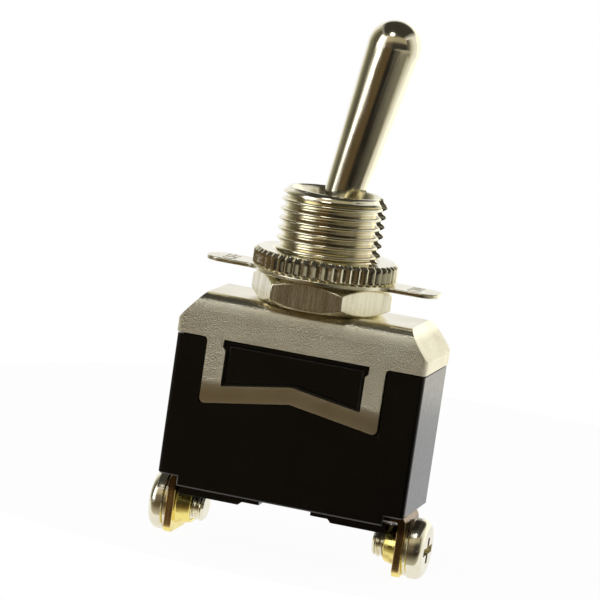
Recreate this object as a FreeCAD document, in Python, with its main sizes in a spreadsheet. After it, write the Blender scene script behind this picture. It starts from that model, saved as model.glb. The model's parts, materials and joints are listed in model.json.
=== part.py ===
import FreeCAD, Part
import math
import os
import Sketcher

# Driving dimensions in millimetres, each with the name that the sheet and the expressions use
DIMENSIONS = {
    # folded cover
    "cover_half_len": 14.64,
    "cover_half_width": 6.25,
    "cover_depth": 4.85,
    "cover_sheet": 0.6,
    "slope_run": 2.64,
    "slope_drop": 3.33,
    "cover_edge_r": 2.26,
    "cover_corner_r": 0.8,
    # retaining loops cut from the cover's long sides
    "loop_shift": -0.35,
    "loop_half_len": 10.45,
    "loop_drop": 7.65,
    "window_half_len": 8.2,
    "window_drop": 5.35,
    "window_notch": 0.35,
    "window_notch_drop": 0.9,
    "chevron_rise": 1.7,
    "loop_corner_r": 0.6,
    "loop_root_r": 0.5,
    # moulded base
    "base_half_len": 14.55,
    "base_half_width": 5.95,
    "base_depth": 22.5,
    "base_corner_r": 0.5,
    "base_edge_r": 0.2,
    "base_gap": 0.2,
    "neck_half_width": 5.45,
    "neck_slack": 0.19,
    "end_notch_from": 12.2,
    "end_notch_rise": 1.1,
    "foot_from": 3.05,
    "foot_step": 5.1,
    "foot_half_width": 4.0,
    "foot_shallow": 0.8,
    "foot_deep": 1.2,
    "loop_slack": 0.15,
    "loop_backing": 0.05,
    "boss_gap": 0.25,
    "boss_proud": 0.1,
    "boss_bevel": 0.25,
    "cavity_half_len": 11.0,
    "cavity_half_width": 4.4,
    "cavity_floor": 20.0,
    # liner and lever guide under the cover
    "guide_sheet": 0.5,
    "guide_half_len": 9.5,
    "guide_half_width": 4.8,
    "guide_slot_half_len": 4.1,
    "liner_sheet": 0.4,
    "liner_half_len": 11.9,
    "liner_half_width": 5.1,
    "liner_slot_slack": 0.5,
    # threaded bushing
    "thread_r": 6.0,
    "thread_pitch": 1.1,
    "thread_depth": 0.5,
    "thread_land": 0.15,
    "bushing_len": 13.17,
    "thread_chamfer": 0.5,
    "spigot_r": 4.7,
    "stake_r": 5.6,
    "stake_half_width": 3.8,
    "stake_sheet": 0.4,
    "dish_r": 4.9,
    "dish_depth": 3.67,
    "throat_r": 3.2,
    "keyway_width": 2.0,
    "keyway_depth": 0.95,
    # nuts and plate on the bushing
    "nut_clearance": 0.05,
    "hex_wall": 1.15,
    "hex_height": 3.25,
    "hex_chamfer": 0.3,
    "plate_sheet": 0.5,
    "plate_inset": 0.29,
    "wing_len": 5.75,
    "wing_root_half_width": 2.9,
    "wing_tip_half_width": 2.45,
    "wing_corner_r": 2.0,
    "wing_blend_r": 1.5,
    "key_slack": 0.1,
    "ring_overhang": 0.034,
    "ring_height": 2.2,
    "ring_chamfer": 0.35,
    "knurl_count": 48,
    "knurl_depth": 0.3,
    # lever
    "pivot_height": 8.15,
    "lever_tilt": 10.7,
    "lever_len": 22.6,
    "lever_root_r": 2.04,
    "lever_tip_r": 3.06,
    "ball_r": 3.9,
    "ball_slack": 0.05,
    "stem_r": 1.95,
    "stem_len": 13.0,
    "stem_bore_r": 1.25,
    "stem_bore_top": 0.5,
    "slide_slack": 0.05,
    # plunger and its spring
    "plunger_top": 9.5,
    "plunger_tip": 21.5,
    "wire_r": 0.14,
    "coil_r": 1.0,
    "coil_pitch": 1.1,
    # rocking contact
    "rocker_gap": 0.3,
    "rocker_sheet": 0.7,
    "rocker_half_len": 9.3,
    "rocker_half_width": 2.1,
    "rocker_rise": 10.0,
    "rocker_tilt": 6.5,
    "wing_out": 3.4,
    "rocker_wing_half_len": 1.2,
    "contact_at": 8.0,
    "contact_r": 1.3,
    "contact_height": 0.5,
    "contact_gap": 0.14,
    "pivot_r": 0.5,
    "saddle_sheet": 0.6,
    "saddle_half_len": 2.5,
    "ear_inside": 2.45,
    "ear_foot_half_len": 1.6,
    "rivet_r": 0.9,
    "rivet_head_r": 1.5,
    "rivet_head": 0.5,
    # screw terminals
    "outlet_shift": 0.35,
    "strip_sheet": 0.9,
    "tab_inside": 13.15,
    "tab_half_width": 3.5,
    "tab_end": 28.65,
    "tab_corner_r": 1.0,
    "bend_r": 0.3,
    "strip_half_width": 2.8,
    "leg_inside": 9.6,
    "shelf_reach": 6.4,
    "strip_reach": 2.4,
    "slot_slack": 0.05,
    "screw_depth": 25.5,
    "collar_len": 1.6,
    "collar_root_r": 2.5,
    "collar_end_r": 2.1,
    "collar_relief_r": 2.55,
    "relief_from": 9.3,
    "screw_r": 1.75,
    "screw_tip": 10.1,
    "screw_tip_chamfer": 0.3,
    "head_r": 3.5,
    "head_height": 1.75,
    "head_edge_r": 1.0,
    "drive_width": 0.9,
    "drive_depth": 0.9,
    "slot_half_len": 2.1,
    "cross_half_len": 1.5,
    "washer_sheet": 0.5,
    "washer_r": 3.3,
    "washer_slack": 0.15,
}

# Heights and places that several pieces share, as expressions over the sheet
STACK = "dims.hex_height + dims.plate_sheet + dims.ring_height"
ENGAGED_R = "(dims.thread_r - dims.thread_depth / 2)"
HEX_FLAT = "(dims.thread_r + dims.hex_wall)"
HEX_CORNER = f"(2 * {HEX_FLAT} / sqrt(3))"
RING_R = f"({HEX_CORNER} + dims.ring_overhang)"
PLATE_R = f"({RING_R} - dims.plate_inset)"
SLOPE_LEN = "sqrt(dims.slope_run ^ 2 + dims.slope_drop ^ 2)"
WINDOW_TOP = "-dims.cover_depth"
LOOP_END = "-dims.cover_depth - dims.loop_drop"
CHEVRON_SLOPE = "dims.chevron_rise / dims.loop_half_len"
WINDOW_END = "-dims.cover_depth - dims.window_drop"
GUIDE_TOP = "-dims.cover_sheet - dims.stake_sheet"
LINER_TOP = f"{GUIDE_TOP} - dims.guide_sheet"
NECK_TOP = f"{LINER_TOP} - dims.liner_sheet"
LEDGE = "-dims.cover_depth - dims.base_gap"
NECK_HALF_LEN = "dims.cover_half_len - dims.cover_sheet - dims.neck_slack"
NOTCH_ROOF = "-dims.base_depth + dims.end_notch_rise"
ROCKER_TOP = "dims.pivot_height - dims.plunger_tip - dims.rocker_gap"
PIVOT = f"{ROCKER_TOP} - dims.rocker_sheet - dims.slide_slack"
STRIP_TOP = "-dims.cavity_floor + dims.strip_sheet"
TAB_OUTSIDE = "dims.tab_inside + dims.strip_sheet"
HEAD_INSIDE = f"{TAB_OUTSIDE} + dims.washer_sheet"
CONTACT_DROP = ("(dims.contact_at * sin(dims.rocker_rise * 1deg - dims.rocker_tilt * 1deg)"
                " / cos(dims.rocker_rise * 1deg))")
SHELF_TOP = (f"{PIVOT} + dims.slide_slack + {CONTACT_DROP} - 2 * dims.contact_height"
             " - dims.contact_gap")

document = FreeCAD.newDocument("panel_toggle_switch")
sheet = document.addObject("Spreadsheet::Sheet", "dims")
for row, (name, amount) in enumerate(DIMENSIONS.items(), start=1):
    sheet.set(f"A{row}", name)
    sheet.set(f"B{row}", str(amount))
    sheet.setAlias(f"B{row}", name)
document.recompute()

pieces = []


def new_piece(label, height="0", tilt="0"):
    """Starts a piece whose own zero is the cover's top, a height above it, or a tilted axis there."""
    body = document.addObject("PartDesign::Body", label)
    body.Label = label
    body.Placement = FreeCAD.Placement(FreeCAD.Vector(), FreeCAD.Rotation(FreeCAD.Vector(0, 1, 0), 1))
    body.setExpression("Placement.Rotation.Angle", tilt)
    body.setExpression("Placement.Base.z", f"{height} - ({STACK})")
    pieces.append(body)
    return body


def new_sketch(body, name, role, offset="0"):
    """Adds a sketch on one of the piece's own origin planes, moved along the plane's normal."""
    plane = next(feature for feature in body.Origin.OriginFeatures if feature.Role == role)
    sketch = body.newObject("Sketcher::SketchObject", name)
    sketch.AttachmentSupport = [(plane, "")]
    sketch.MapMode = "FlatFace"
    sketch.setExpression("AttachmentOffset.Base.z", offset)
    return sketch


def bind(sketch, constraint, expression):
    sketch.setExpression(f"Constraints[{sketch.addConstraint(constraint)}]", expression)


def draw_outline(sketch, corners):
    """Draws a closed outline of straight sides through corners given as pairs of expressions."""
    first = sketch.GeometryCount
    count = len(corners)
    turn = 2 * math.pi / count
    start = [FreeCAD.Vector(math.cos(turn * i), math.sin(turn * i), 0) for i in range(count)]
    for i in range(count):
        sketch.addGeometry(Part.LineSegment(start[i], start[(i + 1) % count]), False)
    for i, (across, up) in enumerate(corners):
        side = first + i
        following = first + (i + 1) % count
        sketch.addConstraint(Sketcher.Constraint("Coincident", side, 2, following, 1))
        bind(sketch, Sketcher.Constraint("DistanceX", -1, 1, side, 1, start[i].x), across)
        bind(sketch, Sketcher.Constraint("DistanceY", -1, 1, side, 1, start[i].y), up)


def draw_circle(sketch, radius, across="0", up="0"):
    circle = sketch.addGeometry(Part.Circle(FreeCAD.Vector(1, 1, 0), FreeCAD.Vector(0, 0, 1), 1), False)
    bind(sketch, Sketcher.Constraint("Radius", circle, 1.0), radius)
    bind(sketch, Sketcher.Constraint("DistanceX", -1, 1, circle, 3, 1.0), across)
    bind(sketch, Sketcher.Constraint("DistanceY", -1, 1, circle, 3, 1.0), up)


def box_corners(left, right, low, high):
    return [(left, low), (right, low), (right, high), (left, high)]


def mirrored_corners(corners):
    """Completes a half outline, given from the bottom up on the right, with its left half."""
    return corners + [(f"-({across})", up) for across, up in reversed(corners)]


def extrude(body, kind, name, sketch, length, middle=False, reverse=False):
    feature = body.newObject(f"PartDesign::{kind}", name)
    feature.Profile = (sketch, [""])
    feature.Midplane = middle
    feature.Reversed = reverse
    feature.setExpression("Length", length)
    sketch.Visibility = False
    return feature


def pad_across(body, name, corners, width):
    """Pads an outline seen from the front, to both sides of the middle plane."""
    sketch = new_sketch(body, f"{name}_outline", "XZ_Plane")
    draw_outline(sketch, corners)
    return extrude(body, "Pad", name, sketch, width, middle=True)


def cut_across(body, name, corners, width):
    sketch = new_sketch(body, f"{name}_outline", "XZ_Plane")
    draw_outline(sketch, corners)
    return extrude(body, "Pocket", name, sketch, width, middle=True)


def pad_up(body, name, corners, base, height):
    """Pads an outline seen from above, upwards from a height."""
    sketch = new_sketch(body, f"{name}_outline", "XY_Plane", base)
    draw_outline(sketch, corners)
    return extrude(body, "Pad", name, sketch, height)


def cut_down(body, name, corners, top, depth):
    sketch = new_sketch(body, f"{name}_outline", "XY_Plane", top)
    draw_outline(sketch, corners)
    return extrude(body, "Pocket", name, sketch, depth)


def disc_up(body, name, radius, base, height):
    sketch = new_sketch(body, f"{name}_outline", "XY_Plane", base)
    draw_circle(sketch, radius)
    return extrude(body, "Pad", name, sketch, height)


def hole_down(body, name, radius, top, depth):
    sketch = new_sketch(body, f"{name}_outline", "XY_Plane", top)
    draw_circle(sketch, radius)
    return extrude(body, "Pocket", name, sketch, depth)


def turn_profile(body, kind, name, corners, axis="V_Axis"):
    """Turns a half profile about the upright axis, or about the X axis for the screws."""
    sketch = new_sketch(body, f"{name}_outline", "XZ_Plane")
    draw_outline(sketch, corners)
    feature = body.newObject(f"PartDesign::{kind}", name)
    feature.Profile = (sketch, [""])
    feature.ReferenceAxis = (sketch, [axis])
    feature.Angle = 360.0
    sketch.Visibility = False
    return feature


def add_ball(body, kind, name, radius, height):
    ball = body.newObject(f"PartDesign::{kind}Sphere", name)
    ball.setExpression("Radius", radius)
    ball.setExpression("Placement.Base.z", height)
    return ball


def finish_edges(body, kind, name, size, wanted):
    """Rounds or bevels the edges of the piece's last feature that the test picks."""
    document.recompute()
    base = body.Tip
    edges = [f"Edge{i}" for i, edge in enumerate(base.Shape.Edges, start=1) if wanted(edge)]
    feature = body.newObject(f"PartDesign::{kind}", name)
    feature.Base = (base, edges)
    feature.setExpression("Radius" if kind == "Fillet" else "Size", size)
    return feature


def value(name):
    return float(sheet.get(name))


def near(left, right, slack=0.01):
    return abs(left - right) < slack


def is_straight(edge, direction):
    """Tells whether an edge runs along one of the axes, X, Y or Z as 0, 1 or 2."""
    if edge.Curve.TypeId != "Part::GeomLine":
        return False
    return near(abs(edge.tangentAt(edge.FirstParameter)[direction]), 1.0)


def loop_outline(grow, top):
    """The chevron-bottomed outline of the loop, or of its recess, grown all round by a gap."""
    left = f"dims.loop_shift - dims.loop_half_len - {grow}"
    right = f"dims.loop_shift + dims.loop_half_len + {grow}"
    foot = f"{LOOP_END} - {grow}"
    middle = f"{LOOP_END} - {grow} + dims.chevron_rise"
    return [(left, foot), ("dims.loop_shift", middle), (right, foot), (right, top), (left, top)]


def window_outline(shrink, top):
    """The opening inside the loop, or the boss in it, shrunk all round by a gap."""
    reach = f"(dims.window_half_len - {shrink})"
    foot = f"{WINDOW_END} + {shrink}"
    middle = f"{WINDOW_END} + {shrink} + dims.window_half_len * ({CHEVRON_SLOPE})"
    left = f"dims.loop_shift - {reach}"
    right = f"dims.loop_shift + {reach}"
    return [(left, foot), ("dims.loop_shift", middle), (right, foot), (right, top), (left, top)]


def shape_cover_form(body, wall):
    """Fills the cover's form, rounded along its long edges and sloped at its ends, inside a wall."""
    half_len = f"(dims.cover_half_len - {wall})"
    half_width = f"(dims.cover_half_width - {wall})"
    block = box_corners(f"-{half_len}", half_len, f"-dims.cover_depth - {wall}", f"-({wall})")
    pad_across(body, "form_block", block, f"2 * {half_width}")
    document.recompute()
    top = body.Tip.Shape.BoundBox.ZMax
    far = body.Tip.Shape.BoundBox.XMax

    def is_long_top_edge(edge):
        return is_straight(edge, 0) and near(edge.CenterOfMass.z, top)

    def is_corner(edge):
        return is_straight(edge, 2) and near(abs(edge.CenterOfMass.x), far)

    finish_edges(body, "Fillet", "form_long_edges", f"dims.cover_edge_r - {wall}", is_long_top_edge)
    setback = f"{wall} * {SLOPE_LEN} / dims.slope_drop"
    foot = f"(dims.slope_run - {wall} + {setback}) * dims.slope_drop / dims.slope_run"
    for side, sign in (("left", "-"), ("right", "")):
        outside = f"{sign}(dims.cover_half_len + dims.slope_run)"
        slope = [(f"{sign}(dims.cover_half_len - 2 * dims.slope_run - {setback})", "dims.slope_drop"),
                 (f"{sign}{half_len}", f"-({foot})"), (outside, f"-({foot})"), (outside, "dims.slope_drop")]
        cut_across(body, f"{side}_slope", slope, "3 * dims.cover_half_width")
    finish_edges(body, "Fillet", "form_corners", f"dims.cover_corner_r - {wall}", is_corner)


def make_cover():
    """Plated sheet cover: a form hollowed by a smaller one, with a hole for the bushing."""
    core = new_piece("cover_core", STACK)
    pieces.remove(core)
    shape_cover_form(core, "dims.cover_sheet")
    body = new_piece("cover")
    shape_cover_form(body, "0")
    hollow = body.newObject("PartDesign::Boolean", "cover_hollow")
    hollow.setObjects([core])
    hollow.Type = "Cut"
    hole_down(body, "bushing_hole", "dims.spigot_r", "1", "1 + 2 * dims.cover_sheet")
    return body


def add_loops(body):
    """The loops run down both long sides from the skirt, each round its own opening."""
    overlap = f"{WINDOW_TOP} + dims.cover_sheet"
    for side, offset in (("front", "dims.cover_half_width - dims.cover_sheet"), ("rear", "-dims.cover_half_width")):
        plate = new_sketch(body, f"{side}_loop_outline", "XZ_Plane", offset)
        draw_outline(plate, loop_outline("0", overlap))
        extrude(body, "Pad", f"{side}_loop", plate, "dims.cover_sheet")
    reach = "dims.window_half_len"
    notch = f"({reach} + dims.window_notch)"
    notch_end = f"{WINDOW_TOP} - dims.window_notch_drop"
    corners = window_outline("0", WINDOW_TOP)[:3] + [
        (f"dims.loop_shift + {reach}", f"{notch_end} - dims.window_notch"),
        (f"dims.loop_shift + {notch}", notch_end),
        (f"dims.loop_shift + {notch}", WINDOW_TOP),
        (f"dims.loop_shift - {notch}", WINDOW_TOP),
        (f"dims.loop_shift - {notch}", notch_end),
        (f"dims.loop_shift - {reach}", f"{notch_end} - dims.window_notch")]
    cut_across(body, "windows", corners, "3 * dims.cover_half_width")

    def is_loop_corner(edge):
        low = near(edge.CenterOfMass.z, -value("cover_depth") - value("loop_drop"))
        return is_straight(edge, 1) and low

    def is_loop_root(edge):
        across = abs(edge.CenterOfMass.x - value("loop_shift"))
        at_skirt = near(edge.CenterOfMass.z, -value("cover_depth"))
        return is_straight(edge, 1) and at_skirt and near(across, value("loop_half_len"))

    finish_edges(body, "Fillet", "loop_corners", "dims.loop_corner_r", is_loop_corner)
    finish_edges(body, "Fillet", "loop_roots", "dims.loop_root_r", is_loop_root)


def make_bushing():
    """Bushing, staked under the cover, whose thread shows above the nuts; the stretch inside them
    stands at the radius where the threads engage."""
    body = new_piece("bushing")
    shoulder = "dims.thread_r - dims.thread_chamfer"
    corners = [("0", GUIDE_TOP), ("dims.spigot_r", GUIDE_TOP), ("dims.spigot_r", "0"),
               (ENGAGED_R, "0"), (ENGAGED_R, STACK), ("dims.thread_r", STACK),
               ("dims.thread_r", "dims.bushing_len - dims.thread_chamfer"),
               (shoulder, "dims.bushing_len"), ("0", "dims.bushing_len")]
    turn_profile(body, "Revolution", "bushing_outside", corners)
    across = "sqrt(dims.stake_r ^ 2 - dims.stake_half_width ^ 2)"
    stake = box_corners(f"-({across})", across, "-dims.stake_half_width", "dims.stake_half_width")
    pad_up(body, "staked_end", stake, GUIDE_TOP, "dims.stake_sheet")
    bore = "dims.ball_r + dims.ball_slack"
    hole_down(body, "stem_bore", bore, "dims.pivot_height", f"dims.pivot_height - ({GUIDE_TOP}) + 1")
    add_ball(body, "Subtractive", "ball_seat", bore, "dims.pivot_height")
    dish = body.newObject("PartDesign::SubtractiveCone", "dish")
    dish.setExpression("Radius1", "dims.throat_r")
    dish.setExpression("Radius2", "dims.dish_r")
    dish.setExpression("Height", "dims.dish_depth")
    dish.setExpression("Placement.Base.z", "dims.bushing_len - dims.dish_depth")
    keyway = box_corners("dims.thread_r - dims.keyway_depth", "dims.thread_r + 1",
                         "-dims.keyway_width / 2", "dims.keyway_width / 2")
    cut_down(body, "keyway", keyway, "dims.bushing_len + 1", "dims.bushing_len + 1")
    cut_thread(body)


def cut_thread(body):
    """The free thread: grooves a pitch apart, with a narrow land between them at the outer radius."""
    half = "(dims.thread_pitch - dims.thread_land) / 2"
    middle = f"{STACK} + dims.thread_land + {half}"
    outside = "dims.thread_r + dims.thread_depth"
    groove = turn_profile(body, "Groove", "thread_groove", [
        ("dims.thread_r - dims.thread_depth", middle), ("dims.thread_r", f"{middle} - {half}"),
        (outside, f"{middle} - {half}"), (outside, f"{middle} + {half}"), ("dims.thread_r", f"{middle} + {half}")])
    document.recompute()
    pattern = body.newObject("PartDesign::LinearPattern", "thread")
    pattern.Originals = [groove]
    pattern.Direction = (groove.Profile[0], ["V_Axis"])
    turns = f"floor((dims.bushing_len - dims.thread_chamfer - ({STACK})) / dims.thread_pitch)"
    pattern.setExpression("Occurrences", turns)
    pattern.setExpression("Length", f"dims.thread_pitch * ({turns} - 1)")
    body.Tip = pattern


def make_hex_nut():
    """Thin hexagon nut with both faces chamfered, its flats square to the base's long sides."""
    body = new_piece("hex_nut")
    half = f"{HEX_CORNER} / 2"
    corners = [(HEX_CORNER, "0"), (half, HEX_FLAT), (f"-{half}", HEX_FLAT),
               (f"-{HEX_CORNER}", "0"), (f"-{half}", f"-{HEX_FLAT}"), (half, f"-{HEX_FLAT}")]
    pad_up(body, "hexagon", corners, "0", "dims.hex_height")
    hole_down(body, "nut_bore", f"{ENGAGED_R} + dims.nut_clearance", "dims.hex_height + 1", "dims.hex_height + 2")
    face_r = f"({HEX_FLAT} - dims.hex_chamfer)"
    fall = f"({HEX_CORNER} - {face_r}) / sqrt(3)"
    outside = f"{HEX_CORNER} + 1"
    turn_profile(body, "Groove", "upper_chamfer", [
        (face_r, "dims.hex_height"), (HEX_CORNER, f"dims.hex_height - {fall}"),
        (outside, f"dims.hex_height - {fall}"), (outside, "dims.hex_height + 1"), (face_r, "dims.hex_height + 1")])
    turn_profile(body, "Groove", "lower_chamfer", [
        (face_r, "0"), (HEX_CORNER, fall), (outside, fall), (outside, "-1"), (face_r, "-1")])


def make_plate():
    """Indicator plate: a ring with a wing on each side and a key that sits in the bushing's keyway."""
    body = new_piece("on_off_plate", "dims.hex_height")
    disc_up(body, "plate_ring", PLATE_R, "0", "dims.plate_sheet")
    tip = f"({PLATE_R} + dims.wing_len)"
    wings = [(f"-{tip}", "-dims.wing_tip_half_width"), ("0", "-dims.wing_root_half_width"),
             (tip, "-dims.wing_tip_half_width"), (tip, "dims.wing_tip_half_width"),
             ("0", "dims.wing_root_half_width"), (f"-{tip}", "dims.wing_tip_half_width")]
    pad_up(body, "wings", wings, "0", "dims.plate_sheet")
    document.recompute()
    outline = body.Tip.Shape.BoundBox

    def is_wing_tip(edge):
        return is_straight(edge, 2) and near(abs(edge.CenterOfMass.x), outline.XMax)

    def is_wing_root(edge):
        place = edge.CenterOfMass
        return is_straight(edge, 2) and near(math.hypot(place.x, place.y), outline.YMax, 0.05)

    finish_edges(body, "Fillet", "wing_corners", "dims.wing_corner_r", is_wing_tip)
    finish_edges(body, "Fillet", "wing_blends", "dims.wing_blend_r", is_wing_root)
    hole_down(body, "plate_hole", "dims.thread_r + dims.nut_clearance", "dims.plate_sheet + 1", "dims.plate_sheet + 2")
    key = box_corners("dims.thread_r - dims.keyway_depth + dims.key_slack", "dims.thread_r + dims.cover_sheet",
                      "-dims.keyway_width / 2 + dims.key_slack", "dims.keyway_width / 2 - dims.key_slack")
    pad_up(body, "key", key, "0", "dims.plate_sheet")


def make_ring_nut():
    """Knurled ring nut that clamps the plate and the panel from the lever side."""
    body = new_piece("knurled_ring_nut", "dims.hex_height + dims.plate_sheet")
    rim = f"{RING_R} - dims.ring_chamfer"
    top = "dims.ring_height - dims.ring_chamfer"
    corners = [("0", "0"), (rim, "0"), (RING_R, "dims.ring_chamfer"), (RING_R, top),
               (rim, "dims.ring_height"), ("0", "dims.ring_height")]
    turn_profile(body, "Revolution", "ring", corners)
    hole_down(body, "ring_bore", f"{ENGAGED_R} + dims.nut_clearance", "dims.ring_height + 1", "dims.ring_height + 2")
    outside = f"{RING_R} + dims.knurl_depth"
    groove = new_sketch(body, "knurl_outline", "XY_Plane", "dims.ring_height + 1")
    draw_outline(groove, [(f"{RING_R} - dims.knurl_depth", "0"),
                          (outside, "-2 * dims.knurl_depth"), (outside, "2 * dims.knurl_depth")])
    cut = extrude(body, "Pocket", "knurl_groove", groove, "dims.ring_height + 2")
    document.recompute()
    pattern = body.newObject("PartDesign::PolarPattern", "knurl")
    pattern.Originals = [cut]
    pattern.Axis = (groove, ["N_Axis"])
    pattern.Angle = 360.0
    pattern.setExpression("Occurrences", "dims.knurl_count")
    body.Tip = pattern


def make_lever():
    """Bat lever: tapered shank with a ball tip, the pivot ball, and a hollow stem below it."""
    body = new_piece("lever", "dims.pivot_height", "dims.lever_tilt")
    disc_up(body, "stem", "dims.stem_r", "-dims.stem_len", "dims.stem_len")
    add_ball(body, "Additive", "pivot_ball", "dims.ball_r", "0")
    shank = body.newObject("PartDesign::AdditiveCone", "shank")
    shank.setExpression("Radius1", "dims.lever_root_r")
    shank.setExpression("Radius2", "dims.lever_tip_r")
    shank.setExpression("Height", "dims.lever_len")
    add_ball(body, "Additive", "tip", "dims.lever_tip_r", "dims.lever_len")
    hole_down(body, "stem_hollow", "dims.stem_bore_r", "dims.stem_bore_top", "dims.stem_bore_top + dims.stem_len + 1")


def make_plunger():
    """Insulating plunger that slides in the stem and ends in a ball that rides on the rocker."""
    body = new_piece("plunger", "dims.pivot_height", "dims.lever_tilt")
    radius = "dims.stem_bore_r - dims.slide_slack"
    disc_up(body, "rod", radius, f"-dims.plunger_tip + {radius}", f"dims.plunger_tip - ({radius}) - dims.plunger_top")
    add_ball(body, "Additive", "rod_tip", radius, f"-dims.plunger_tip + {radius}")


def make_spring():
    """Compression spring between the blind end of the stem's bore and the plunger."""
    body = new_piece("lever_spring", "dims.pivot_height", "dims.lever_tilt")
    wire = new_sketch(body, "wire_outline", "XZ_Plane")
    low = "-dims.plunger_top + dims.wire_r + dims.slide_slack"
    draw_circle(wire, "dims.wire_r", "dims.coil_r", low)
    document.recompute()
    coil = body.newObject("PartDesign::AdditiveHelix", "coil")
    coil.Profile = (wire, [""])
    coil.ReferenceAxis = (wire, ["V_Axis"])
    coil.Mode = 0
    coil.setExpression("Pitch", "dims.coil_pitch")
    coil.setExpression("Height", "dims.plunger_top + dims.stem_bore_top - 2 * dims.wire_r - 2 * dims.slide_slack")
    wire.Visibility = False


def make_slotted_sheet(label, top, thickness, half_len, half_width, slot_half_len, slot_half_width):
    body = new_piece(label)
    base = f"{top} - {thickness}"
    outline = box_corners(f"-({half_len})", half_len, f"-({half_width})", half_width)
    pad_up(body, f"{label}_sheet", outline, base, thickness)
    slot = box_corners(f"-({slot_half_len})", slot_half_len, f"-({slot_half_width})", slot_half_width)
    cut_down(body, f"{label}_slot", slot, f"{top} + 1", f"{thickness} + 2")


def make_guides():
    """The guide's slot keeps the lever in one plane, and the liner insulates the cover."""
    slot_half_width = "dims.stem_r + dims.slide_slack"
    make_slotted_sheet("lever_guide", GUIDE_TOP, "dims.guide_sheet", "dims.guide_half_len",
                       "dims.guide_half_width", "dims.guide_slot_half_len", slot_half_width)
    make_slotted_sheet("insulating_liner", LINER_TOP, "dims.liner_sheet", "dims.liner_half_len",
                       "dims.liner_half_width", "dims.guide_slot_half_len + dims.liner_slot_slack",
                       f"{slot_half_width} + dims.liner_slot_slack")


def make_base():
    """Moulded base: outside block, neck inside the cover, feet, and the cavity for the contacts."""
    body = new_piece("base")
    right = [("dims.end_notch_from", "-dims.base_depth"), ("dims.end_notch_from", NOTCH_ROOF),
             ("dims.base_half_len", NOTCH_ROOF), ("dims.base_half_len", LEDGE)]
    pad_across(body, "block", mirrored_corners(right), "2 * dims.base_half_width")

    def is_upright_corner(edge):
        return is_straight(edge, 2) and near(abs(edge.CenterOfMass.x), value("base_half_len"))

    def is_bottom_edge(edge):
        at_side = near(abs(edge.CenterOfMass.y), value("base_half_width"))
        return at_side and edge.BoundBox.ZMax < -value("base_depth") + value("end_notch_rise") + 0.01

    finish_edges(body, "Fillet", "block_corners", "dims.base_corner_r", is_upright_corner)
    finish_edges(body, "Chamfer", "block_bottom_edges", "dims.base_edge_r", is_bottom_edge)
    neck_x = NECK_HALF_LEN
    slope = "(dims.cover_depth - dims.slope_drop)"
    right = [(neck_x, LEDGE), (neck_x, f"-dims.cover_depth + {slope} / 2"),
             ("dims.liner_half_len + dims.neck_slack", NECK_TOP)]
    pad_across(body, "neck", mirrored_corners(right), "2 * dims.neck_half_width")
    for side, sign in (("left", "-"), ("right", "")):
        start = f"{sign}dims.foot_from + dims.outlet_shift"
        step = f"{sign}dims.foot_step + dims.outlet_shift"
        slanted = f"{sign}(dims.foot_step + dims.foot_deep - dims.foot_shallow) + dims.outlet_shift"
        end = f"{sign}dims.end_notch_from"
        shallow = "-dims.base_depth - dims.foot_shallow"
        deep = "-dims.base_depth - dims.foot_deep"
        foot = [(start, "-dims.base_depth"), (start, shallow), (step, shallow), (slanted, deep),
                (end, deep), (end, NOTCH_ROOF)]
        pad_across(body, f"{side}_foot", foot, "2 * dims.foot_half_width")
    return body


def cut_loop_recess(body):
    """A shallow recess holds each loop, with a bevelled boss standing in the loop's opening."""
    depth = "dims.base_half_width - (dims.cover_half_width - dims.cover_sheet) + dims.loop_backing"
    recess = new_sketch(body, "recess_outline", "XZ_Plane", "dims.base_half_width")
    draw_outline(recess, loop_outline("dims.loop_slack", f"{LEDGE} + 1"))
    cut = extrude(body, "Pocket", "loop_recess", recess, depth)
    boss = new_sketch(body, "boss_outline", "XZ_Plane", f"dims.base_half_width - ({depth})")
    draw_outline(boss, window_outline("dims.boss_gap", f"{LEDGE} - dims.boss_gap"))
    pad = extrude(body, "Pad", "loop_boss", boss, f"{depth} + dims.boss_proud")
    document.recompute()
    proud = -value("base_half_width") - value("boss_proud")

    def is_boss_face_edge(edge):
        return near(edge.BoundBox.YMin, proud) and near(edge.BoundBox.YMax, proud)

    bevel = finish_edges(body, "Chamfer", "boss_bevel", "dims.boss_bevel", is_boss_face_edge)
    middle = next(feature for feature in body.Origin.OriginFeatures if feature.Role == "XZ_Plane")
    document.recompute()
    mirror = body.newObject("PartDesign::Mirrored", "rear_recess")
    mirror.Originals = [cut, pad, bevel]
    mirror.MirrorPlane = (middle, [""])
    body.Tip = mirror


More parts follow.
